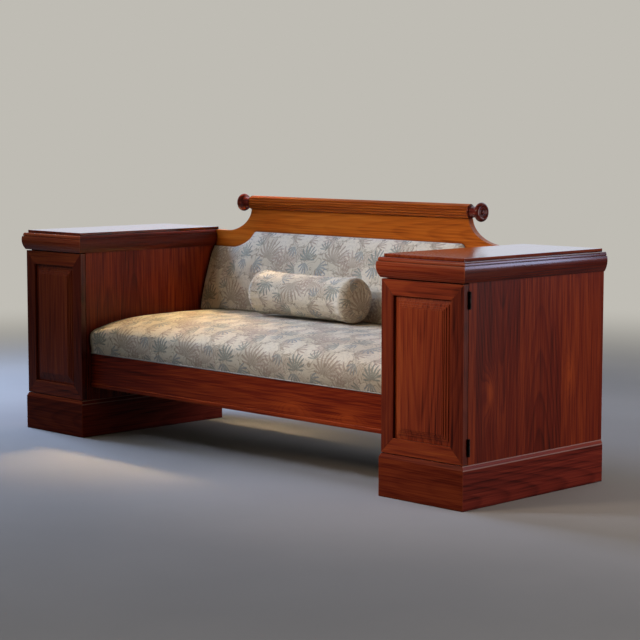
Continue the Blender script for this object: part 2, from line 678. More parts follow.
# %% Normals and crisp edges
def face_outwards(piece):
    """Recalculates the normals of a closed mesh, so that a mirrored one isn't inside out."""
    work = bmesh.new()
    work.from_mesh(piece.data)
    bmesh.ops.recalc_face_normals(work, faces=work.faces)
    work.to_mesh(piece.data)
    work.free()


def sharp_above(piece, degrees):
    """Edges that turn by more than this stay crisp in smooth shading."""
    piece.data.set_sharp_from_angle(angle=math.radians(degrees))


# %% Make the mouldings
CAP_BOARD = {"board": 0.3, "figure": 0.12}
CAP_SHARP = 35
cap_woods = {
    "front": hardwood("polished cedar, cap fronts", "X", "Z", ORANGE, gloss=0.28, coat=0.5, shine=0.4,
                      **CAP_BOARD),
    "outer": hardwood("polished cedar, cap sides", "Y", "Z", DARK, gloss=0.24, coat=0.8, shine=0.5,
                      **CAP_BOARD),
    "inner": hardwood("waxed cedar, inner cap sides", "Y", "Z", DARK, gloss=0.42, coat=0.0, shine=0.3,
                      **CAP_BOARD),
}
for hand, sign in (("left", -1), ("right", 1)):
    runs = {"front": front_run(front_depth), "outer": side_run(side_depth, x_outer, 1),
            "inner": side_run(side_depth, x_inner, -1)}
    for part, rings in runs.items():
        points, faces = solid_run(rings * [sign, 1, 1])
        piece = make_piece(f"{hand}_cap_{part}_run", points, faces, cap_woods[part], "moulding_wood",
                           replaces=[f"{hand}_cap_{part}_moulding"])
        face_outwards(piece)
        sharp_above(piece, CAP_SHARP)
print(2 * len(cap_woods), "cap mouldings run")

# %% [markdown]
# Crest rail and knobs
#
# The crest is an oval bar with five reeds planed along its front. At every height the front stands
# at the core's oval or at a reed's circle, whichever is further out, so the reeds are a maximum of
# two functions. The knobs are turned on a lathe: a profile of radius against length, spun round.

# %% The crest rail
CREST_HALF_H, CREST_CORE_D, CREST_REAR_D = 0.028, 0.0195, 0.022
REED_PITCH, REED_COUNT, REED_PROUD, REED_SHARE = 0.0092, 5, 0.0025, 0.52
CREST_SHARP = 30
CREST_TONES = ("#5c2208", "#a24a14", "#c87028")
reed_r = REED_SHARE * REED_PITCH
crest_mid_z = crest_high[2] - CREST_HALF_H
crest_mid_y = crest_high[1] - CREST_REAR_D
crest_foot = crest_low[2]

h = np.linspace(-CREST_HALF_H, CREST_HALF_H, 241)
core = CREST_CORE_D * np.sqrt(1 - (h / CREST_HALF_H) ** 2)
reed_at = (np.arange(REED_COUNT) - (REED_COUNT - 1) / 2) * REED_PITCH
bed = CREST_CORE_D * np.sqrt(1 - (reed_at / CREST_HALF_H) ** 2) + REED_PROUD - reed_r
gap = reed_r**2 - (h[:, None] - reed_at) ** 2
reeds = np.where(gap > 0, bed + np.sqrt(np.maximum(gap, 0)), 0).max(1)
front = np.stack([crest_mid_y - np.maximum(core, reeds), crest_mid_z + h], -1)
a = np.linspace(np.pi / 2, -np.pi / 2, 40)[1:-1]
rear = np.stack([crest_mid_y + CREST_REAR_D * np.cos(a), crest_mid_z + CREST_HALF_H * np.sin(a)], -1)
outline = np.concatenate([front, rear])
outline[:, 1] = np.maximum(outline[:, 1], crest_foot)
ends = np.stack([np.insert(outline, 0, x, axis=1) for x in (crest_low[0], crest_high[0])])
points, faces = solid_run(ends)
reeded = hardwood("polished cedar, crest", "X", "Z", CREST_TONES, board=0.4, ring=0.02, figure=0.2,
                  gloss=0.42, coat=0.0, shine=0.15, grain=0.02, grime_mm=5.0)
crest = make_piece("reeded_crest", points, faces, reeded, "honey_wood", replaces=["crest_rail"])
face_outwards(crest)
sharp_above(crest, CREST_SHARP)
print("crest", np.round(crest_high - crest_low, 4).tolist(), "m with", REED_COUNT, "reeds")

# %% The turned knobs
KNOB_R, NECK_R, KNOB_LEN, BUN_SHARE = 0.035, 0.020, 0.060, 0.35
COLLAR_STEP, COLLAR_R = 0.001, 0.003
DISH_SHARE = 0.55
RING_AT, RING_H, RING_W = 0.62, 0.0016, 0.0017
BUTTON_AT, BUTTON_H = 0.30, 0.0052
POLE_GAP = 0.00001
KNOB_TONES = ("#3a120a", "#70261a", "#9a4426")


def knob_outline():
    """Points of (radius, length): collar, waisted neck, bun, dished face with a ring and a button."""
    bun = BUN_SHARE * KNOB_LEN / 2
    dish = KNOB_R - bun
    a = np.linspace(0, np.pi / 2, 8)
    collar = np.stack([NECK_R + COLLAR_STEP + COLLAR_R * np.cos(a), COLLAR_R + COLLAR_R * np.sin(a)], -1)
    t = np.linspace(0, 1, 14)
    neck_long = KNOB_LEN - 2 * bun - 2 * COLLAR_R
    neck = np.stack([NECK_R + (dish - NECK_R) * t**3, 2 * COLLAR_R + neck_long * t], -1)
    a = np.radians(np.linspace(-70, 90, 26))
    rim = np.stack([dish + bun * np.cos(a), KNOB_LEN - bun + bun * np.sin(a)], -1)
    r = np.linspace(dish, 0, 40)[1:]
    depth = DISH_SHARE * bun * (1 - (r / dish) ** 4)
    ring = RING_H * np.exp(-(((r - RING_AT * dish) / RING_W) ** 2))
    button = BUTTON_H * np.sqrt(np.maximum(0, 1 - (r / (BUTTON_AT * dish)) ** 2))
    face = np.stack([r, KNOB_LEN - depth + ring + button], -1)
    start = [[0.0, 0.0], [NECK_R + COLLAR_STEP + COLLAR_R, 0.0]]
    return np.concatenate([start, collar, neck, rim, face])


knob_wood = hardwood("dark polished knobs", "X", "Z", KNOB_TONES, board=0.4, gloss=0.22, coat=0.5)
shape = knob_outline()
spin = np.linspace(0, 2 * np.pi, 64, endpoint=False)
radius, length = shape[:, :1], shape[:, 1:]
for hand, sign in (("left", -1), ("right", 1)):
    x = sign * (crest_high[0] + length + 0 * spin)
    points = np.stack([x, crest_mid_y + radius * np.cos(spin), crest_mid_z + radius * np.sin(spin)], -1)
    faces = grid_faces(len(shape), len(spin))[0]
    knob = make_piece(f"{hand}_turned_knob", points, faces, knob_wood, "knob_wood",
                      replaces=[f"{hand}_crest_knob"])
    merge = knob.modifiers.new("close poles", "WELD")
    merge.merge_threshold = POLE_GAP
    if sign < 0:
        knob.data.flip_normals()
print("knobs turned,", len(shape), "points from collar to button")

# %% [markdown]
# A tapestry of leaves
#
# The cover is a cotton tapestry: grey and brown palm leaves with fine outlines and pale blossoms on
# a cream ground. Such leaves are traditional, and this set is drawn for this sofa. Each leaf is a
# formula in a node group that tells how far inside the leaf a point of the cloth lies. The cloth
# repeats because each leaf measures from its own foot with a distance that wraps at the repeat, and
# every second row is shifted by half a repeat, as on most furnishing cloths.

# %% What every leaf starts with
REPEAT = (0.365, 0.36)


def leaf_group(name, numbers):
    """A node group with a point, a foot, a turn and a size, and what every leaf starts with."""
    tree = bpy.data.node_groups.new(name, "ShaderNodeTree")
    for label in ("Point", "Foot"):
        tree.interface.new_socket(name=label, in_out="INPUT", socket_type="NodeSocketVector")
    for label in ("Turn", "Size", *numbers):
        tree.interface.new_socket(name=label, in_out="INPUT", socket_type="NodeSocketFloat")
    for label in ("Inside", "Line", "Reach"):
        tree.interface.new_socket(name=label, in_out="OUTPUT", socket_type="NodeSocketFloat")
    given = add(tree, "NodeGroupInput").node.outputs
    half = (REPEAT[0] / 2, REPEAT[1] / 2, 0.0)
    apart = add(tree, "VectorMath", [given["Point"], given["Foot"]], operation="SUBTRACT")
    up = add(tree, "SeparateXYZ", [apart]).node.outputs["Y"]
    row = add(tree, "ROUND", [add(tree, "DIVIDE", [up, half[1]])])
    dropped = add(tree, "VectorMath", {0: half, "Scale": row}, operation="SCALE")
    in_row = add(tree, "VectorMath", [apart, dropped], operation="SUBTRACT")
    highest, lowest = (half[0], 1.0, 1.0), (-half[0], -1.0, -1.0)
    near = add(tree, "VectorMath", [in_row, highest, lowest], operation="WRAP")
    turned = add(tree, "VectorRotate", {"Vector": near, "Angle": given["Turn"]},
                 rotation_type="Z_AXIS", invert=True)
    scale = add(tree, "DIVIDE", [1.0, given["Size"]])
    local = add(tree, "VectorMath", {0: turned, "Scale": scale}, operation="SCALE")
    radius = add(tree, "VectorMath", [local], 1, operation="LENGTH")
    xy = add(tree, "SeparateXYZ", [local]).node.outputs
    angle = add(tree, "ARCTAN2", [xy[1], xy[0]])
    return tree, given, xy, radius, angle


print("the cloth repeats every", REPEAT, "m")


# %% What every leaf ends with
def finish_leaf(tree, depth, vein, reach, soft, within):
    """A soft mask and an outline with veins, from the depth inside the leaf; within cuts both off."""
    inside = add(tree, "MapRange", [depth, 0.0, soft, 0.0, 1.0], interpolation_type="SMOOTHSTEP")
    rim = add(tree, "ABSOLUTE", [depth])
    outline = add(tree, "MapRange", [rim, 0.0, 1.2 * soft, 1.0, 0.0])
    veined = add(tree, "MULTIPLY", [vein, inside])
    line = add(tree, "MAXIMUM", [outline, veined])
    kept = [add(tree, "MULTIPLY", [part, within]) for part in (inside, line)]
    add(tree, "NodeGroupOutput", [*kept, reach])
    return tree


# %% The fan leaf
def fan_leaf():
    """Slim fingers from one foot: half-width = plump * t * root of (1 - t), bent a little."""
    tree, given, xy, radius, angle = leaf_group("fan leaf", ("Spread", "Fingers", "Plump"))
    droop = add(tree, "MULTIPLY", [radius, 0.30])
    bent = add(tree, "MULTIPLY_ADD", [add(tree, "SINE", [angle]), droop, angle])
    nearest = add(tree, "ROUND", [add(tree, "DIVIDE", [bent, given["Spread"]])])
    least = add(tree, "MULTIPLY", [given["Fingers"], -1.0])
    finger = add(tree, "MINIMUM", [add(tree, "MAXIMUM", [nearest, least]), given["Fingers"]])
    axis = add(tree, "MULTIPLY", [finger, given["Spread"]])
    off = add(tree, "SUBTRACT", [bent, axis])
    length = add(tree, "COSINE", [add(tree, "MULTIPLY", [axis, 0.5])])
    forward = add(tree, "MULTIPLY", [radius, add(tree, "COSINE", [off])])
    side = add(tree, "ABSOLUTE", [add(tree, "MULTIPLY", [radius, add(tree, "SINE", [off])])])
    t = add(tree, "DIVIDE", [forward, length], use_clamp=True)
    rest = add(tree, "SUBTRACT", [1.0, t])
    hump = add(tree, "MULTIPLY", [t, rest])
    bulge = add(tree, "MULTIPLY", [t, add(tree, "SQRT", [rest])])
    plump = add(tree, "MULTIPLY", [given["Plump"], length])
    width = add(tree, "MULTIPLY_ADD", [bulge, plump, 0.006])
    depth = add(tree, "SUBTRACT", [width, side])
    vein = add(tree, "MapRange", [side, 0.0, 0.012, 0.25, 0.0])
    within = add(tree, "MapRange", [hump, 0.0, 0.03, 0.0, 1.0])
    return finish_leaf(tree, depth, vein, t, 0.020, within)


# %% The fern leaf
def fern_leaf():
    """Leaflets slant off a bent stem: depth = teeth along the stem - share of the reach."""
    tree, given, xy, radius, angle = leaf_group("fern leaf", ("Bend", "Leaflets", "Reach"))
    bow = add(tree, "MULTIPLY", [add(tree, "MULTIPLY", [xy[0], xy[0]]), given["Bend"]])
    across = add(tree, "ABSOLUTE", [add(tree, "SUBTRACT", [xy[1], bow])])
    t = add(tree, "MULTIPLY", [xy[0], 1.0], use_clamp=True)
    rest = add(tree, "SUBTRACT", [1.0, t])
    hump = add(tree, "MULTIPLY", [t, rest])
    arch = add(tree, "POWER", [hump, 0.5])
    reach = add(tree, "MULTIPLY_ADD", [arch, given["Reach"], 0.01])
    share = add(tree, "DIVIDE", [across, reach])
    slant = add(tree, "MULTIPLY_ADD", [across, -1.1, xy[0]])
    saw = add(tree, "FRACT", [add(tree, "MULTIPLY", [slant, given["Leaflets"]])])
    tooth = add(tree, "ABSOLUTE", [add(tree, "SUBTRACT", [saw, 0.5])])
    lobes = add(tree, "MULTIPLY_ADD", [tooth, -1.9, 1.15])
    depth = add(tree, "MULTIPLY_ADD", [share, -1.0, lobes])
    vein = add(tree, "MapRange", [across, 0.0, 0.02, 0.9, 0.0])
    within = add(tree, "MapRange", [hump, 0.0, 0.02, 0.0, 1.0])
    return finish_leaf(tree, depth, vein, share, 0.16, within)


# %% The blossom
def blossom():
    """Depth = 1 - radius / scalloped edge, with rings of petals one inside the other."""
    tree, given, xy, radius, angle = leaf_group("blossom", ("Petals", "Rings"))
    swirl = add(tree, "MULTIPLY_ADD", [radius, 1.5, angle])
    wave = add(tree, "ABSOLUTE", [add(tree, "SINE", [add(tree, "MULTIPLY", [swirl, given["Petals"]])])])
    grown = add(tree, "MULTIPLY_ADD", [wave, 0.22, 0.78])
    share = add(tree, "DIVIDE", [radius, grown])
    depth = add(tree, "SUBTRACT", [1.0, share])
    rings = add(tree, "FRACT", [add(tree, "MULTIPLY_ADD", [share, given["Rings"], 0.3])])
    vein = add(tree, "MapRange", [rings, 0.0, 0.16, 0.7, 0.0])
    within = add(tree, "MapRange", [share, 1.15, 1.1, 0.0, 1.0])
    return finish_leaf(tree, depth, vein, share, 0.07, within)


FAN, FERN, BLOSSOM = fan_leaf(), fern_leaf(), blossom()
print("drawn:", ", ".join(group.name for group in (FAN, FERN, BLOSSOM)))

# %% [markdown]
# Planting the leaves
#
# The weaver's card is a list: which leaf, where its foot stands as a share of the repeat, which way
# it grows, how long it is, which yarns it uses, how well it covers, and its own numbers. The list
# runs from the back of the design to its front. Thin tendrils wind between the leaves: they are the
# level lines of a noise. Under it all lies the weave. Its real threads are half a millimetre apart,
# too fine to show in a picture of a whole sofa, so they are drawn three times as coarse.

# %% The weaver's card
CREAM = ("#c8bc9f", "#dbd0b8")
TENDRIL = "#8a7a64"
GREY_GREEN = ("#aeb09c", "#81877d", "#515a55")
BLUE_GREY = ("#b0b3aa", "#878e8c", "#586264")
BROWN = ("#cdbda2", "#a98f7b", "#766150")
ROSE = ("#d4c4ab", "#b8a18f", "#826c5b")
PALE = ("#e4dac3", "#e0d4ba", "#8e7c66")
CARD = [
    (BLOSSOM, (0.08, 0.33), 10, 0.060, PALE, 0.8, (4.5, 2.6)),
    (BLOSSOM, (0.54, 0.28), 70, 0.054, PALE, 0.8, (4.0, 2.6)),
    (BLOSSOM, (0.82, 0.40), 40, 0.052, PALE, 0.8, (4.5, 2.6)),
    (BLOSSOM, (0.36, 0.48), 40, 0.044, PALE, 0.8, (4.0, 2.6)),
    (FERN, (0.12, 0.42), 25, 0.105, ROSE, 0.6, (0.5, 6.0, 0.55)),
    (FERN, (0.80, 0.26), -60, 0.085, BROWN, 0.5, (0.5, 5.0, 0.55)),
    (FAN, (0.36, 0.12), 75, 0.084, BROWN, 0.9, (0.37, 5.0, 0.10)),
    (FAN, (0.66, 0.07), 108, 0.076, ROSE, 0.9, (0.40, 4.0, 0.11)),
    (FAN, (0.28, 0.41), 200, 0.066, ROSE, 0.9, (0.42, 3.0, 0.12)),
    (FAN, (0.64, 0.38), 30, 0.064, BROWN, 0.85, (0.42, 3.0, 0.12)),
    (FAN, (0.47, 0.20), 330, 0.052, ROSE, 0.9, (0.48, 3.0, 0.14)),
    (FAN, (0.04, 0.47), 90, 0.052, BROWN, 0.8, (0.45, 3.0, 0.13)),
    (FAN, (0.98, 0.13), 92, 0.062, GREY_GREEN, 1.0, (0.45, 4.0, 0.14)),
    (FAN, (0.96, 0.09), 262, 0.046, BLUE_GREY, 0.95, (0.50, 2.0, 0.16)),
    (FAN, (0.17, 0.05), 330, 0.054, BLUE_GREY, 0.95, (0.48, 3.0, 0.15)),
    (FAN, (0.82, 0.00), 205, 0.052, GREY_GREEN, 0.95, (0.48, 3.0, 0.15)),
    (FAN, (0.22, 0.26), 130, 0.044, GREY_GREEN, 0.85, (0.52, 2.0, 0.16)),
    (FAN, (0.74, 0.26), 250, 0.044, BLUE_GREY, 0.85, (0.52, 2.0, 0.16)),
    (FAN, (0.52, 0.04), 20, 0.042, BROWN, 0.85, (0.50, 2.0, 0.16)),
    (FAN, (0.92, 0.34), 10, 0.044, BROWN, 0.85, (0.50, 2.0, 0.16)),
]
print(len(CARD), "leaves in each repeat")


# %% Ground and leaves
LINE_COVER = 0.60


def cream_ground(tree, cloth_at, point):
    """Washed cream, with tendrils along the level lines of a noise, drawn only in patches."""
    wash = add(tree, "TexNoise", {"Vector": cloth_at, "Scale": 9.0, "Detail": 2.0})
    paint = add(tree, "Mix", {0: wash, 6: colour(CREAM[0]), 7: colour(CREAM[1])}, 2, data_type="RGBA")
    tendrils = add(tree, "TexNoise", {"Vector": point, "Scale": 22.0, "Detail": 0.5})
    winding = add(tree, "FRACT", [add(tree, "MULTIPLY", [tendrils, 9.0])])
    off_line = add(tree, "ABSOLUTE", [add(tree, "SUBTRACT", [winding, 0.5])])
    stroke = add(tree, "MapRange", [off_line, 0.13, 0.03, 0.0, 0.75])
    patches = add(tree, "TexNoise", {"Vector": point, "Scale": 28.0, "Detail": 0.0})
    shown = add(tree, "MapRange", [patches, 0.36, 0.50, 0.0, 1.0])
    stroke = add(tree, "MULTIPLY", [stroke, shown])
    return add(tree, "Mix", {0: stroke, 6: paint, 7: colour(TENDRIL)}, 2, data_type="RGBA")


def plant_leaves(tree, paint, point):
    """Lays the card's leaves over the paint, each with two yarns along its reach and a drawn line."""
    for shape, foot, turn, size, yarns, cover, numbers in CARD:
        near, far, thread = (colour(yarn) for yarn in yarns)
        planted = (foot[0] * REPEAT[0], foot[1] * REPEAT[1], 0.0)
        given = [point, planted, math.radians(turn), size, *numbers]
        leaf = add(tree, "Group", given, node_tree=shape).node.outputs
        body = add(tree, "Mix", {0: leaf["Reach"], 6: near, 7: far}, 2, data_type="RGBA")
        laid = add(tree, "MULTIPLY", [leaf["Inside"], cover])
        paint = add(tree, "Mix", {0: laid, 6: paint, 7: body}, 2, data_type="RGBA")
        drawn_line = add(tree, "MULTIPLY", [leaf["Line"], LINE_COVER])
        paint = add(tree, "Mix", {0: drawn_line, 6: paint, 7: thread}, 2, data_type="RGBA")
    return paint


# %% The weave
THREAD_MM = 1.5
SLUBS_PER_METRE = (1000.0, 120.0, 1.0)
WANDER = 0.010


def weave(tree, cloth_at, pick):
    """Shade and height: uneven yarn, plus the product of one sine wave for each way of the threads."""
    waves = []
    for direction in add(tree, "SeparateXYZ", [cloth_at]).node.outputs[:2]:
        phase = add(tree, "MULTIPLY", [direction, 2 * math.pi / pick])
        waves.append(add(tree, "SINE", [phase]))
    ridge = add(tree, "MULTIPLY", waves)
    yarn_at = add(tree, "VectorMath", [cloth_at, SLUBS_PER_METRE], operation="MULTIPLY")
    slub = add(tree, "TexNoise", {"Vector": yarn_at, "Scale": 1.0, "Detail": 2.0})
    shade = add(tree, "MULTIPLY_ADD", [slub, 0.34, 0.83])
    shade = add(tree, "MULTIPLY_ADD", [ridge, 0.035, shade])
    return shade, add(tree, "ADD", [slub, ridge])


def tapestry(name):
    """Every thread takes one colour: the point that is painted snaps to the threads' grid."""
    material, tree = new_material(name)
    cloth_at = add(tree, "UVMap", uv_map="cloth")
    drift = add(tree, "TexNoise", {"Vector": cloth_at, "Scale": 25.0, "Detail": 1.0}, 1)
    centred = add(tree, "VectorMath", [drift, (0.5, 0.5, 0.5)], operation="SUBTRACT")
    nudge = add(tree, "VectorMath", [centred, (WANDER, WANDER, 0.0)], operation="MULTIPLY")
    drawn = add(tree, "VectorMath", [cloth_at, nudge], operation="ADD")
    pick = THREAD_MM / 1000
    point = add(tree, "VectorMath", [drawn, (pick, pick, 1.0)], operation="SNAP")
    paint = plant_leaves(tree, cream_ground(tree, cloth_at, point), point)
    shade, height = weave(tree, cloth_at, pick)
    grey = add(tree, "CombineXYZ", [shade, shade, shade])
    woven = add(tree, "VectorMath", [paint, grey], operation="MULTIPLY")
    bump = add(tree, "Bump", {"Strength": 0.35, "Distance": 0.0004, "Height": height})
    skin = add(tree, "BsdfPrincipled", {"Base Color": woven, "Roughness": 0.82, "Normal": bump,
                                        "Sheen Weight": 0.35, "Sheen Roughness": 0.4,
                                        "Sheen Tint": colour("#dfe6f2")})
    add(tree, "OutputMaterial", [skin])
    return material


leaf_cloth = tapestry("woven cotton tapestry")
print("cloth woven with threads", THREAD_MM, "mm apart and", len(leaf_cloth.node_tree.nodes), "nodes")

# %% [markdown]
# Stuffed shapes
#
# Upholstery is a cover pulled over stuffing and tacked at its edges. Each piece starts as its frame
# solid, drawn a few millimetres slack. A cloth simulation then presses the cover out from inside
# while the tacked rows stay where they are, and the result becomes the mesh. The pressed-out cover
# keeps the cloth map that it was cut with, so the leaves follow it.


# %% Even steps and the cloth map
def even_path(points, count):
    """The same line with its points at equal steps, and how far along it each of them lies."""
    step = np.linalg.norm(np.diff(points, axis=0), axis=1)
    along = np.concatenate([[0], np.cumsum(step)])
    at = np.linspace(0, along[-1], count)
    return np.stack([np.interp(at, along, points[:, k]) for k in range(points.shape[1])], -1), at


def set_cloth_map(piece, u, v):
    """Writes one (u, v) in metres for each face corner."""
    layer = piece.data.uv_layers.new(name="cloth")
    layer.data.foreach_set("uv", np.stack([u, v], -1).astype(np.float32).ravel())


print("a line in even steps:", even_path(np.array([[0.0, 0.0], [1.0, 0.0], [1.0, 2.0]]), 4)[0].tolist())


# %% Reading and moving a mesh's points
def read_points(mesh):
    """All points of a mesh as rows of x, y and z."""
    values = np.zeros(len(mesh.vertices) * 3)
    mesh.vertices.foreach_get("co", values)
    return values.reshape(-1, 3)


def move_points(mesh, points):
    """Puts every point of a mesh at its new place."""
    mesh.vertices.foreach_set("co", points.ravel())
    mesh.update()


# %% Pressing a cover out
def press_out(piece, pinned, pressure, most, frames=20):
    """Cloth under pressure with pinned points; no point ends further than most from its start."""
    before = read_points(piece.data)
    tacks = piece.vertex_groups.new(name="tacks")
    tacks.add(np.flatnonzero(pinned).tolist(), 1.0, "REPLACE")
    cloth = piece.modifiers.new("cloth", "CLOTH")
    cloth.settings.quality = 5
    cloth.settings.mass = 0.25
    cloth.settings.tension_stiffness = cloth.settings.compression_stiffness = 20
    cloth.settings.shear_stiffness = 10
    cloth.settings.bending_stiffness = 1.5
    cloth.settings.use_pressure = True
    cloth.settings.uniform_pressure_force = pressure
    cloth.settings.vertex_group_mass = "tacks"
    cloth.settings.effector_weights.gravity = 0
    cloth.point_cache.frame_start, cloth.point_cache.frame_end = 1, frames
    for frame_number in range(1, frames + 1):
        scene.frame_set(frame_number)
    after = read_points(piece.evaluated_get(bpy.context.evaluated_depsgraph_get()).to_mesh())
    piece.modifiers.remove(cloth)
    scene.frame_set(1)
    shift = after - before
    size = np.linalg.norm(shift, axis=1, keepdims=True)
    shift *= most * np.tanh(size / most) / np.maximum(size, 1e-9)
    move_points(piece.data, before + shift)
    return float(np.linalg.norm(shift, axis=1).max())


def smooth_out(piece):
    """One level of subdivision on a finished cover."""
    rounder = piece.modifiers.new("rounder", "SUBSURF")
    rounder.levels = rounder.render_levels = 1


# %% A stuffed cover
def stuffed(name, cover, under, u, node, pressure=3.0, most=0.006):
    """A closed cover: stations x points over the top, back along the underside, and shut ends."""
    stations, count = cover.shape[:2]
    loop = np.concatenate([cover, under[:, ::-1]], 1)
    k = np.arange(count - 1)
    end = np.stack([k, k + 1, 2 * count - 2 - k, 2 * count - 1 - k], -1)
    last = (stations - 1) * 2 * count
    faces = np.concatenate([grid_faces(stations, 2 * count)[0], end[:, ::-1], end + last])
    piece = make_piece(name, loop, faces, leaf_cloth, "tapestry", replaces=[node])
    face_outwards(piece)
    step = np.linalg.norm(np.diff(cover, axis=1), axis=2)
    along = np.concatenate([np.zeros((stations, 1)), np.cumsum(step, 1)], 1)
    beyond = along[:, -1:] + np.linalg.norm(under - under[:, -1:], axis=2)[:, ::-1]
    v_of = np.concatenate([along, beyond], 1)
    point = np.zeros(len(piece.data.loops), np.int32)
    piece.data.loops.foreach_get("vertex_index", point)
    set_cloth_map(piece, np.repeat(u, 2 * count)[point], v_of.ravel()[point])
    tacked = np.ones((stations, 2 * count), bool)
    tacked[1:-1, 1 : count - 1] = False
    moved = press_out(piece, tacked.ravel(), pressure, most)
    smooth_out(piece)
    print(name, len(piece.data.vertices), "points, pressed out by", round(moved * 1000, 1), "mm")


# %% [markdown]
# The seat
#
# The seat is sprung and tightly covered. Its front rises from the rail, bulges a little, turns
# over a soft edge and then climbs in a long curve that levels out towards the back. In the middle
# it is crowned. The cover's sides tuck down beside the arms, so the last centimetre rounds off.

# %% Sizes of the seat
SEAT_RISE, SEAT_DROP, SEAT_RUN = 0.133, 0.045, 0.075
SEAT_BULGE, SEAT_EDGE_R, SEAT_CROWN = 0.011, 0.018, 0.020
SEAT_TUCK_R, SEAT_TUCK_RUN = 0.012, 0.05
UNDER_IN = 0.002
SLACK = 0.003
seat_half = seat_high[0]
y_seat_back = seat_high[1]
z_seat_foot = seat_low[2]
z_seat = rail_high[2] + SEAT_RISE
y_rail = rail_low[1]
edge_turn = math.atan(SEAT_RUN / SEAT_DROP)
z_edge_mid = z_seat - SEAT_DROP - SEAT_EDGE_R * math.sin(edge_turn)
y_edge_mid = y_rail - SEAT_BULGE + SEAT_EDGE_R
y_seat_edge = y_edge_mid - SEAT_EDGE_R * math.cos(edge_turn)
print("seat edge at y =", round(y_seat_edge, 3), "and its level at z =", round(z_seat, 3), "m")


# %% The seat's surface
def seat_top(x, y):
    """Height of the seat: a level minus a drop that dies away from the front edge, plus the crown."""
    share = np.clip((y - y_seat_edge) / (y_seat_back - y_seat_edge), 0, 1)
    arch = np.sin(np.pi * (0.08 + 0.84 * share)) ** 0.6
    crown = SEAT_CROWN * (1 - np.abs(x / seat_half) ** 6) * arch
    return z_seat - SEAT_DROP * np.exp((y_seat_edge - y) / SEAT_RUN) + crown


def tuck(x, half, radius):
    """How far a round-over of this radius takes the surface in, at a distance from the end."""
    near = np.clip(radius - (half - np.abs(x)), 0, radius)
    return radius - np.sqrt(radius**2 - near**2)


def seat_section(x, count):
    """Front face, soft edge and top in one line, at equal steps."""
    t = np.linspace(0, 1, 20, endpoint=False)
    a = np.linspace(0, edge_turn, 12, endpoint=False)
    y = np.linspace(y_seat_edge, y_seat_back, 90)
    swell = seat_top(x, y_seat_edge) - (z_seat - SEAT_DROP)
    edge_h = SEAT_EDGE_R + swell / math.sin(edge_turn)
    y_front = y_rail - SEAT_BULGE * np.sin(np.pi / 2 * t)
    parts = [
        np.stack([y_front, z_seat_foot + (z_edge_mid - z_seat_foot) * t], -1),
        np.stack([y_edge_mid - SEAT_EDGE_R * np.cos(a), z_edge_mid + edge_h * np.sin(a)], -1),
        np.stack([y, seat_top(x, y)], -1),
    ]
    line, _ = even_path(np.concatenate(parts), count)
    inward = tuck(x, seat_half, SEAT_TUCK_R)
    lower = (inward + SLACK) * np.clip((line[:, 0] - y_edge_mid) / SEAT_TUCK_RUN, 0, 1)
    line[:, 1] = np.maximum(line[:, 1] - lower, z_seat_foot)
    return np.insert(line, 0, x, axis=1)


print("middle of the seat at z =", round(float(seat_top(0, (y_seat_edge + y_seat_back) / 2)), 3), "m")

# %% Stuff the seat
SEAT_STATIONS, SEAT_POINTS = 117, 72
ease = np.linspace(-1, 1, SEAT_STATIONS)
x_at = seat_half * (0.88 * ease + 0.12 * np.sin(np.pi / 2 * ease))
cover = np.stack([seat_section(x, SEAT_POINTS) for x in x_at])
under = cover.copy()
under[..., 1] = np.linspace(y_rail + UNDER_IN, y_seat_back, SEAT_POINTS)
under[..., 2] = z_seat_foot
stuffed("seat_cover", cover, under, x_at, "seat_cushion")

# %% [markdown]
# The padded back
#
# The pad leans back and its top follows the shoulders of the board behind it: a raised middle,
# hollow shoulders and level ends under the arms' mouldings. It is thickest at its foot and rounds
# away to nothing along its top, so its thickness is the leaning face times a quarter of an ellipse
# in the distance from the outline.

# %% Outline of the back pad
PAD_LEAN, PAD_CROWN, PAD_ROUND, PAD_FOOT_T = 0.060, 0.016, 0.036, 0.095
PAD_RISE, PAD_SHOULDER_W, PAD_POWER, PAD_CORNER_IN = 0.067, 0.127, 1.5, 0.026
PAD_CLEAR, PAD_THIN = 0.0006, 0.002
PAD_POINTS, PAD_HALF_STATIONS, FINE_STEPS = 44, 75, 900
pad_half = pad_high[0]
y_pad_back = pad_high[1]
y_pad_foot = board_low[1] - PAD_FOOT_T
z_pad_top = pad_high[2]
pad_corner = crest_high[0] - PAD_CORNER_IN
a = np.linspace(0, np.pi / 2, 60)
bend_x = pad_corner + PAD_SHOULDER_W * (1 - np.cos(a) ** (2 / PAD_POWER))
bend_z = z_pad_top - PAD_RISE * np.sin(a) ** (2 / PAD_POWER)
bend = np.stack([bend_x, bend_z], -1)
half_outline = np.concatenate([[[0, z_pad_top]], bend, [[pad_half, z_pad_top - PAD_RISE]]])
half_even, _ = even_path(half_outline, PAD_HALF_STATIONS)
outline = np.concatenate([half_even[:0:-1] * [-1, 1], half_even])
dense, _ = even_path(np.concatenate([half_outline[:0:-1] * [-1, 1], half_outline]), FINE_STEPS)
print("pad", round(2 * pad_half, 3), "m wide, its shoulders drop", PAD_RISE, "m")


# %% The pad's surface
def pad_swell(x, t):
    """Extra fullness, most in the middle of the face."""
    return PAD_CROWN * (1 - np.abs(x / pad_half) ** 4) * np.sin(np.pi * np.clip(0.12 + 0.68 * t, 0, 1))


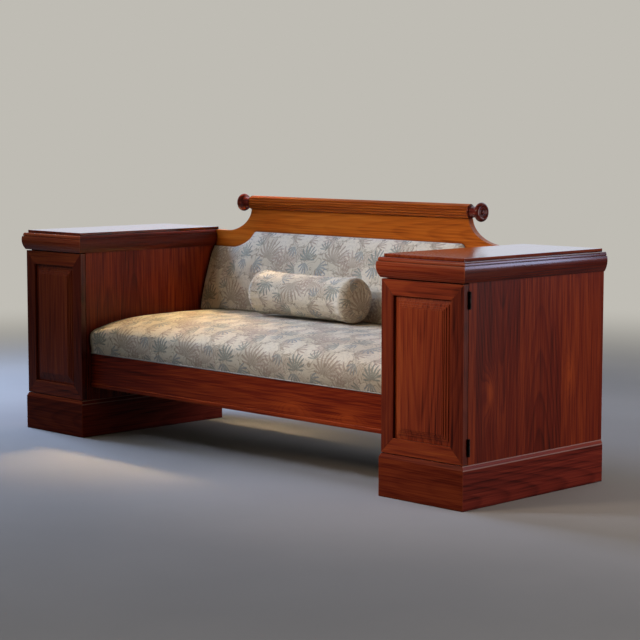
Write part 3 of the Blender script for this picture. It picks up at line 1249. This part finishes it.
def pad_station(x, top, count):
    """One upright line of the cover from the foot to the outline, and the flat back behind it."""
    z_foot = seat_top(x, y_pad_foot - pad_swell(x, 0)) + PAD_CLEAR
    rise = np.linspace(0, 1, count)
    rise = 1 - (1 - rise) ** 1.35
    z = z_foot + (top - z_foot) * rise
    t = np.clip((z - z_foot) / (top - PAD_ROUND - z_foot), 0, 1.1)
    lean = y_pad_foot + PAD_LEAN * t**1.3 - pad_swell(x, t)
    gap = np.linalg.norm(dense[None] - np.stack([0 * z + x, z], -1)[:, None], axis=2).min(1)
    round_off = np.sqrt(1 - (1 - np.clip(gap / PAD_ROUND, 0, 1)) ** 2)
    thick = np.maximum((y_pad_back - lean - SLACK) * round_off, PAD_THIN)
    y = y_pad_back - thick + tuck(x, pad_half, SEAT_TUCK_R) * round_off
    cover = np.stack([0 * z + x, y, z], -1)
    z_back = seat_top(x, y_pad_back) + PAD_CLEAR
    return cover, np.stack([0 * z + x, 0 * z + y_pad_back, z_back + (top - z_back) * rise], -1)


# %% Stuff the pad
pairs = [pad_station(x, top, PAD_POINTS) for x, top in outline]
cover = np.stack([pair[0] for pair in pairs])
under = np.stack([pair[1] for pair in pairs])
stuffed("back_cover", cover, under, outline[:, 0], "back_pad")

# %% [markdown]
# The bolster
#
# A bolster is a roll of down in a sewn sleeve with a round panel at each end. The sleeve is eased
# into the seam, which makes short soft pleats, and the ends dome out. It starts slack, the pressure
# fills it, and no point may pass the radius that the frame gives it.

# %% Profile of the bolster
ROLL_R, ROLL_SLACK = (roll_high[2] - roll_low[2]) / 2, 0.004
DOME_DEEP, DOME_POWER, PANEL_SHARE = 0.052, 0.86, 0.62
PLEATS, PLEAT_DEEP, PLEAT_LONG = 17, 0.0018, 0.024
SEAM_DEEP, SEAM_WIDE = 0.0008, 0.0030
PANEL_AT = (0.135, 0.075)
roll_len = roll_high[0] - roll_low[0]
roll_mid_y = (roll_low[1] + roll_high[1]) / 2
roll_mid_z = (roll_low[2] + roll_high[2]) / 2
a = np.linspace(0.02, np.pi / 2, 40)
dome = np.stack([ROLL_R * np.sin(a) ** DOME_POWER, DOME_DEEP * (1 - np.cos(a) ** DOME_POWER)], -1)
half_profile = np.concatenate([dome, [[ROLL_R, roll_len / 2]]])
half_roll, s = even_path(half_profile, 46)
seam_s = PANEL_SHARE * ROLL_R
profile = np.concatenate([half_roll, [[r, roll_len - x] for r, x in half_roll[-2::-1]]])
s_all = np.concatenate([s, 2 * s[-1] - s[-2::-1]])
from_seam = np.minimum(s_all, s_all[-1] - s_all) - seam_s
print("bolster", round(roll_len, 3), "m long,", round(2 * ROLL_R, 3), "m thick")

# %% Cover of the bolster
spin = np.linspace(0, 2 * np.pi, 80, endpoint=False)
pleat = PLEAT_DEEP * np.exp(-np.abs(from_seam) / PLEAT_LONG)[:, None] * np.cos(PLEATS * spin)[None]
pleat *= np.clip(profile[:, :1] / seam_s, 0, 1) ** 2
seam = SEAM_DEEP * np.exp(-((from_seam / SEAM_WIDE) ** 2))[:, None]
slack = ROLL_SLACK * (profile[:, :1] / ROLL_R)
radius = profile[:, :1] - slack - seam + pleat
x = roll_low[0] + ROLL_SLACK / 2 + profile[:, 1:] * (roll_len - ROLL_SLACK) / roll_len + 0 * spin
points = np.stack([x, roll_mid_y + radius * np.cos(spin), roll_mid_z + radius * np.sin(spin)], -1)
bolster = make_piece("bolster_cover", *solid_run(points), leaf_cloth, "tapestry", body="bolster",
                     replaces=["bolster"])
print(PLEATS, "pleats at each seam,", len(bolster.data.vertices), "points")

# %% The bolster's cloth
# The sleeve's map is unrolled; the end panels are cut flat from the cloth.
rows, cols = points.shape[:2]
_, corner_rows, corner_cols = grid_faces(rows, cols)
angle = corner_cols * 2 * np.pi / cols
sleeve_u, sleeve_v = s_all[corner_rows], angle * ROLL_R
face_s = s_all[corner_rows.mean(1, keepdims=True).astype(int)]
on_left, on_right = face_s < seam_s, face_s > s_all[-1] - seam_s
reach = np.where(on_left, s_all[corner_rows], s_all[-1] - s_all[corner_rows])
flat_u = PANEL_AT[0] + reach * np.cos(angle)
flat_v = PANEL_AT[1] + reach * np.sin(angle)
flat = on_left | on_right
u = np.concatenate([np.where(flat, flat_u, sleeve_u).ravel(), np.full(2 * cols, PANEL_AT[0])])
v = np.concatenate([np.where(flat, flat_v, sleeve_v).ravel(), np.full(2 * cols, PANEL_AT[1])])
set_cloth_map(bolster, u, v)
print(int(flat.sum()), "faces on the end panels,", int((~flat).sum()), "on the sleeve")

# %% Press the bolster out
held = np.zeros((rows, cols), bool)
held[[0, -1]] = True
moved = press_out(bolster, held.ravel(), pressure=5.0, most=0.007)
place = read_points(bolster.data)
out = np.hypot(place[:, 1] - roll_mid_y, place[:, 2] - roll_mid_z)
share = np.minimum(1, ROLL_R / np.maximum(out, 1e-6))
place[:, 1] = roll_mid_y + (place[:, 1] - roll_mid_y) * share
place[:, 2] = roll_mid_z + (place[:, 2] - roll_mid_z) * share
move_points(bolster.data, place)
face_outwards(bolster)
smooth_out(bolster)
print("bolster pressed out by", round(moved * 1000, 1), "mm")

# %% [markdown]
# Gimp and welt
#
# A narrow woven gimp hides the tacks along the rail, and a thin welt covered in plain cloth lies in
# the joint between the pad and the board. Both are tubes that follow the edges already worked out.


# %% Braid
TWIST = 900.0


def plain_cloth(name, first, second, pitch_mm, along):
    """Plain braid: two close colours in a fine twist along one axis."""
    material, tree = new_material(name)
    xyz = add(tree, "SeparateXYZ", [add(tree, "TexCoord", out=3)]).node.outputs
    phase = add(tree, "MULTIPLY", [xyz[along], 2000 * math.pi / pitch_mm])
    twist = add(tree, "ADD", [phase, add(tree, "MULTIPLY", [xyz["Z"], TWIST])])
    wave = add(tree, "MULTIPLY_ADD", [add(tree, "SINE", [twist]), 0.5, 0.5])
    tone = add(tree, "Mix", {0: wave, 6: colour(first), 7: colour(second)}, 2, data_type="RGBA")
    bump = add(tree, "Bump", {"Strength": 0.5, "Distance": 0.0005, "Height": wave})
    skin = add(tree, "BsdfPrincipled", {"Base Color": tone, "Roughness": 0.8, "Normal": bump,
                                        "Sheen Weight": 0.3})
    add(tree, "OutputMaterial", [skin])
    return material


print("a strand climbs over another every", round(2000 * math.pi / TWIST, 1), "mm of height")

# %% Gimp and welt
GIMP_R, GIMP_SHORT, GIMP_PROUD = 0.0022, 0.001, 0.0005
WELT_R, WELT_LAP = 0.0026, 0.0006
braid = plain_cloth("cotton gimp braid", "#8f8c86", "#bdbab3", 3.0, "X")
x_line = np.linspace(-seat_half + GIMP_SHORT, seat_half - GIMP_SHORT, 120)
y_line, z_line = y_rail - GIMP_PROUD, rail_high[2] + GIMP_R
rail_edge = np.stack([x_line, 0 * x_line + y_line, 0 * x_line + z_line], -1)
make_piece("seat_gimp", *tube(rail_edge, GIMP_R), braid, "tapestry")

welt_x = np.clip(outline[:, 0], -pad_half + WELT_R, pad_half - WELT_R)
welt_z = outline[:, 1] + WELT_LAP - WELT_R
welt_line = np.stack([welt_x, 0 * welt_x + y_pad_back - WELT_R, welt_z], -1)
make_piece("pad_welt", *tube(welt_line, WELT_R), braid, "tapestry")
print("gimp", round(float(np.ptp(x_line)), 3), "m long")

# %% [markdown]
# Springs and webbing
#
# Under the seat, jute straps are woven over and under each other and carry a waisted coil spring on
# every crossing. They only show from below, but the sofa couldn't work without them. A strap's
# height is a cosine with the pitch of the crossings, and a coil is a helix whose radius is a
# parabola: wide at the ends and narrow at the waist.

# %% Places of the straps
ROWS, COLUMNS, STRAP_W, STRAP_T = 4, 9, 0.050, 0.0026
END_RAIL_T, WEAVE_SHARE, STRAP_SHARP = 0.024, 0.88, 40
web_low, web_high = corners("seat_webbing")
back_rail_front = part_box("seat_back_rail")[0][1]
web_mid = (web_low[2] + web_high[2]) / 2
weave_rise = (web_high[2] - web_low[2] - STRAP_T) / 2 * WEAVE_SHARE
row_pitch = (back_rail_front - rail_high[1]) / ROWS
column_pitch = 2 * (x_inner - END_RAIL_T) / COLUMNS
row_y = rail_high[1] + row_pitch * (np.arange(ROWS) + 0.5)
column_x = column_pitch * (np.arange(COLUMNS) - (COLUMNS - 1) / 2)
print("straps every", round(column_pitch, 3), "m along and", round(row_pitch, 3), "m across")


# %% Webbing
def strap(centre_line, across):
    """A flat band with a rectangular section, carried along its centre line."""
    across = np.array(across) * STRAP_W / 2
    up = np.array([0, 0, STRAP_T / 2])
    section = [-across - up, across - up, across + up, -across + up]
    return solid_run(np.stack([centre_line + corner for corner in section], 1))


straps = []
for k, y in enumerate(row_y):
    x = np.linspace(-x_inner, x_inner, 160)
    z = web_mid + (-1) ** k * weave_rise * np.cos(np.pi * x / column_pitch)
    straps.append(strap(np.stack([x, 0 * x + y, z], -1), (0, 1, 0)))
for k, x in enumerate(column_x):
    y = np.linspace(rail_high[1], back_rail_front, 80)
    z = web_mid - (-1) ** k * weave_rise * np.cos(np.pi * (y - row_y[0]) / row_pitch)
    straps.append(strap(np.stack([0 * y + x, y, z], -1), (1, 0, 0)))
jute = plain_cloth("jute webbing", "#7c6a48", "#a8946c", 4.0, "X")
webbing = make_piece("woven_webbing", *join(straps), jute, "jute_webbing", replaces=["seat_webbing"])
face_outwards(webbing)
sharp_above(webbing, STRAP_SHARP)
print(len(straps), "straps woven")

# %% Coil springs
SPRING_R, WAIST_R, WIRE_R, COIL_TURNS, FLAT_SHARE = 0.042, 0.028, 0.0017, 5.0, 0.10
foot_z = web_high[2] + WIRE_R
head_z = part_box("seat_springs")[1][2] - WIRE_R
t = np.linspace(0, 1, 100)
climb = np.clip((t - FLAT_SHARE) / (1 - 2 * FLAT_SHARE), 0, 1)
coil_r = WAIST_R + (SPRING_R - WAIST_R) * (2 * climb - 1) ** 2 - WIRE_R
turn = 2 * np.pi * COIL_TURNS * t
coil = np.stack([coil_r * np.cos(turn), coil_r * np.sin(turn), foot_z + (head_z - foot_z) * climb], -1)
coils = [tube(coil + [x, y, 0], WIRE_R, sides=6) for x in column_x for y in row_y]
make_piece("coil_springs", *join(coils), spring_steel, "steel", replaces=["seat_springs"])
print(len(coils), "springs,", round(head_z - foot_z, 3), "m high")

# %% [markdown]
# Last checks
#
# The dressed sofa has to stay in the frame's box, so both boxes are written side by side.

# %% Sizes and finish
bpy.context.view_layer.update()
